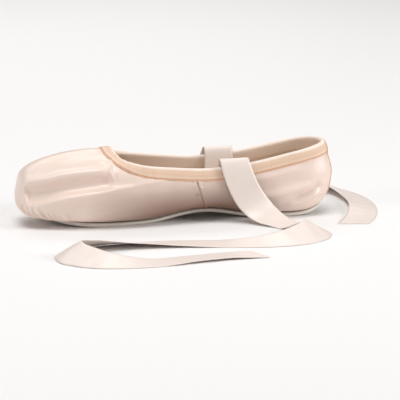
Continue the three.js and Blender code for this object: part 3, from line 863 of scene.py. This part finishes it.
def pleat_height(co):
    """Fanned folds under the toe, each lapped over the next, away from the middle."""
    x, y, z = co.T
    angle = np.arctan2(y, x - SPINE["toe"])
    reach = np.hypot(y, x - SPINE["toe"])
    turn = np.abs(angle) * PLEATS["reach"] / PLEATS["wide"]
    side = np.where(angle > 0, 1.0, 4.0)
    drift = [noise.noise(Vector((t * 0.55, 7.3, s))) for t, s in zip(turn, side)]
    turn += PLEATS["wander"] * np.array(drift)
    uneven = [noise.noise(Vector((math.floor(t) * 3.7, 2.2, s))) for t, s in zip(turn, side)]
    depth = 0.75 + 0.5 * np.array(uneven)
    place, lap = turn - np.floor(turn), PLEATS["lap"]
    fold = smooth_step(0, 1, np.where(place < lap, place / lap, (1 - place) / (1 - lap)))
    top = np.interp(x, [PLEATS["to"], PLEATS["tip"]], [PLEATS["low"], PLEATS["high"]])
    top -= PLEATS["short"] * (1 - depth)
    fade = smooth_step(0, PLEATS["fade"], top - z) * smooth_step(PLEATS["from"], PLEATS["to"], x)
    return (fold - PLEATS["sunk"]) * depth * fade * smooth_step(*PLEATS["clear"], reach)


def slackness(co):
    """Soft unevenness of satin that nothing fills."""
    move = np.zeros(len(co))
    for height, waves, start in SLACK:
        move += [height * noise.noise(Vector(point)) for point in co * waves + start]
    return move


def gathers(co, rim, place):
    """Small puckers of the satin along the tape, higher at the throat."""
    come, go = (smooth_step(*TOPLINE[name], rim) for name in ("gathers_in", "gathers_out"))
    height = TOPLINE["gather"] + TOPLINE["throat"] * smooth_step(*THROAT, co[:, 0])
    return pucker(place, GATHERS["satin"]) * come * go * height


def arch_shade_and_soil(co):
    """Painted shade, partly soil: how brown the satin is low on the side, most at the arch."""
    x, _, z = co.T
    arch = smooth_step(*SHADE_AND_SOIL["heights"], z) * smooth_step(*SHADE_AND_SOIL["heel"], x) * smooth_step(*SHADE_AND_SOIL["toe"], x)
    return np.sqrt(arch)


def make_upper():
    """The satin and its lining with creases, gathers, pleats and seams, and the lines of the side seams."""
    piece = copy_of("upper", "satin_upper")
    smooth_piece(piece)
    tree = surface_tree(piece)
    seams = [drawn_line(tree, "side", SIDE_SEAM["line"], side) for side in (1, -1)]
    for behind, top in FINER:
        co = coordinates(piece)
        refine(piece, outer_side(co, normals(piece)) & (co[:, 0] > behind) & (co[:, 2] < top))
    for reach in SIDE_SEAM["finer"]:
        co = coordinates(piece)
        near = sum(nearness(co, seam, reach) for seam in seams) > 0
        refine(piece, outer_side(co, normals(piece)) & near)
    co, out = coordinates(piece), normals(piece)
    outer = outer_side(co, out)
    out[~outer] *= -1
    rim, place = nearest_on_rim(co)
    move = np.zeros(len(co))
    for side in (1, -1):
        for crease in CREASES:
            line = drawn_line(tree, crease["seen"], crease["line"], side)
            share = nearness(co, line, crease["half"], crease["peak"], crease["fade"])
            move += crease["height"] * share
    move += slackness(co)
    move *= smooth_step(*TOPLINE["creases"], rim)
    move += gathers(co, rim, place)
    pleats = pleat_height(co) * outer
    move += PLEATS["height"] * pleats
    # Painted shade, partly soil, browner low at the arch, and painted shade in the pleats' valleys
    shade_and_soil = np.maximum(arch_shade_and_soil(co), np.clip(-pleats, 0, 1) * SHADE_AND_SOIL["pleats"])
    for side, seam in zip((1, -1), seams):
        groove = nearness(co, seam, SIDE_SEAM["half"], SIDE_SEAM["peak"])
        lips = np.clip(nearness(co, seam, SIDE_SEAM["lip"]) - groove, 0, 1)
        move += (SIDE_SEAM["rise"] * lips - SIDE_SEAM["depth"] * groove) * outer
        # Painted shade in the side seam's groove
        shade_and_soil = np.maximum(shade_and_soil, SHADE_AND_SOIL["seams"] * groove)
        for k, line in enumerate(drag_lines(tree, seam, side)):
            height = DRAG["height"] if k % 3 else -DRAG["height"]
            move += height * nearness(co, line, DRAG["half"], DRAG["peak"], DRAG["fade"]) * outer
    co += out * move[:, None]
    move_to(piece, co)
    set_value(piece, "shade_and_soil", shade_and_soil)
    thread_map(piece)
    piece.data.materials.append(satin)
    piece.data.materials.append(lining)
    inside = [int(not outer[list(face.vertices)].all()) for face in piece.data.polygons]
    piece.data.polygons.foreach_set("material_index", inside)
    only(piece)
    bpy.ops.object.shade_smooth()
    finish_piece(piece, "satin", "upper")
    return piece, seams


def thread_map(piece):
    """UV map in millimetres: along the foot, over the end of the toe and round the foot."""
    x, y, z = coordinates(piece).T
    along = x - THREADS["lean"] * (z - THREADS["level"]) * smooth_step(*THREADS["toe"], x)
    round_foot = np.arctan2(y, z - THREADS["middle"]) * THREADS["radius"]
    set_map(piece, np.column_stack([along, round_foot]))


upper, side_seams = make_upper()
shift = np.array(SIDE_SEAM["stitches"])
stitch_lines = [seam + sign * shift for seam in side_seams for sign in (1, -1)]
sew("seam_stitches", stitch_lines, upper, FINE_STITCH, pale_thread, "satin")


# Tape over the back seam
def make_heel_tape():
    """The tape over the back seam, laid on the satin and the topline tape, and its lines of stitches."""
    low, high = (np.array(corner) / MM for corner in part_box("heel_strip"))
    trees = [surface_tree(upper), surface_tree(binding)]
    behind = low[0] - 50
    half = high[1] - HEEL_TAPE["side"]
    heights = np.linspace(low[2] + HEEL_TAPE["foot"], high[2] - HEEL_TAPE["top"], HEEL_TAPE["rows"])
    spread = np.linspace(-half, half, HEEL_TAPE["points"])
    rows = np.zeros((len(heights), len(spread), 3))
    for i, z in enumerate(heights):
        for j, y in enumerate(spread):
            start = Vector((behind, y, z)) * MM
            hits = [tree.ray_cast(start, Vector((1, 0, 0)))[0] for tree in trees]
            nearest = min((hit for hit in hits if hit is not None), key=lambda hit: hit.x)
            rows[i, j] = np.array(nearest) / MM
    # The tape bridges the step down from the topline tape
    for _ in range(HEEL_TAPE["eased"]):
        rows[1:-1, :, 0] = np.minimum(rows[1:-1, :, 0], (rows[:-2, :, 0] + rows[2:, :, 0]) / 2)
    piece = cloth_grid("heel_tape", rows, heights, 0.5 + 0.5 * spread / half)
    co = coordinates(piece)
    face_out(piece, np.tile((-1.0, 0, 0), (len(co), 1)))
    out = normals(piece)
    edge = half - np.abs(co[:, 1])
    stand = np.interp(edge, *zip(*HEEL_TAPE_PROFILE))
    # The two edges are gathered in different places
    uneven = pucker(co[:, 2] + 100 * (co[:, 1] > 0), GATHERS["heel tape"])
    stand += uneven * HEEL_TAPE["gather"] * smooth_step(*HEEL_TAPE["gathers_in"], edge)
    co += out * stand[:, None]
    move_to(piece, co)
    apply_modifier(piece, "SOLIDIFY", thickness=HEEL_TAPE["thickness"] * MM, offset=-1)
    bpy.ops.object.shade_smooth()
    piece.data.materials.append(heel_tape)
    finish_piece(piece, "strip", "heel_strip")
    sewn = half - HEEL_TAPE["stitch"]
    return piece, [rows[:, np.abs(spread - side * sewn).argmin()] for side in (1, -1)]


strip, strip_seams = make_heel_tape()
sew("heel_stitches", strip_seams, strip, FINE_STITCH, seam_thread, "strip")


# Sole and sock
def make_sole():
    """The leather sole, with its edges broken and its cut edge marked."""
    piece = copy_of("outsole", "leather_sole")
    apply_modifier(piece, "BEVEL", width=SOLE["bevel"] * MM, segments=2, limit_method="ANGLE",
                   angle_limit=math.radians(SOLE["angle"]))
    smooth_piece(piece)
    set_value(piece, "edge", smooth_step(*SOLE["upright"], np.abs(normals(piece)[:, 2])))
    piece.data.materials.append(suede)
    finish_piece(piece, "sole_leather", "outsole")


def make_sock():
    """The cotton sock inside."""
    piece = copy_of("insole", "cotton_sock")
    smooth_piece(piece)
    piece.data.materials.append(sock)
    finish_piece(piece, "sock", "insole")


make_sole()
make_sock()


# Stage
def make_stage():
    """The pale floor, the lights and the soft light around them."""
    deselect()
    bpy.ops.mesh.primitive_plane_add(size=FLOOR["size"])
    floor = bpy.context.object
    floor.name = "floor"
    material, tree = new_material("floor")
    skin = add(tree, "ShaderNodeBsdfPrincipled", {
        "Base Color": linear(FLOOR["tone"]), "Roughness": FLOOR["rough"]})
    add(tree, "ShaderNodeOutputMaterial", {"Surface": skin.outputs["BSDF"]})
    floor.data.materials.append(material)
    for name, place, aim, size, power in LIGHTS:
        ahead = Vector(aim) - Vector(place)
        turn = ahead.to_track_quat("-Z", "Y").to_euler()
        bpy.ops.object.light_add(type="AREA", location=place, rotation=turn)
        light = bpy.context.object
        light.name = name
        light.data.size = size
        light.data.energy = power
    world = bpy.data.worlds.new("studio")
    world.use_nodes = True
    sky = world.node_tree.nodes["Background"]
    sky.inputs["Color"].default_value = linear("#ffffff")
    sky.inputs["Strength"].default_value = AROUND
    bpy.context.scene.world = world
    bpy.context.scene.view_settings.view_transform = "Standard"


make_stage()
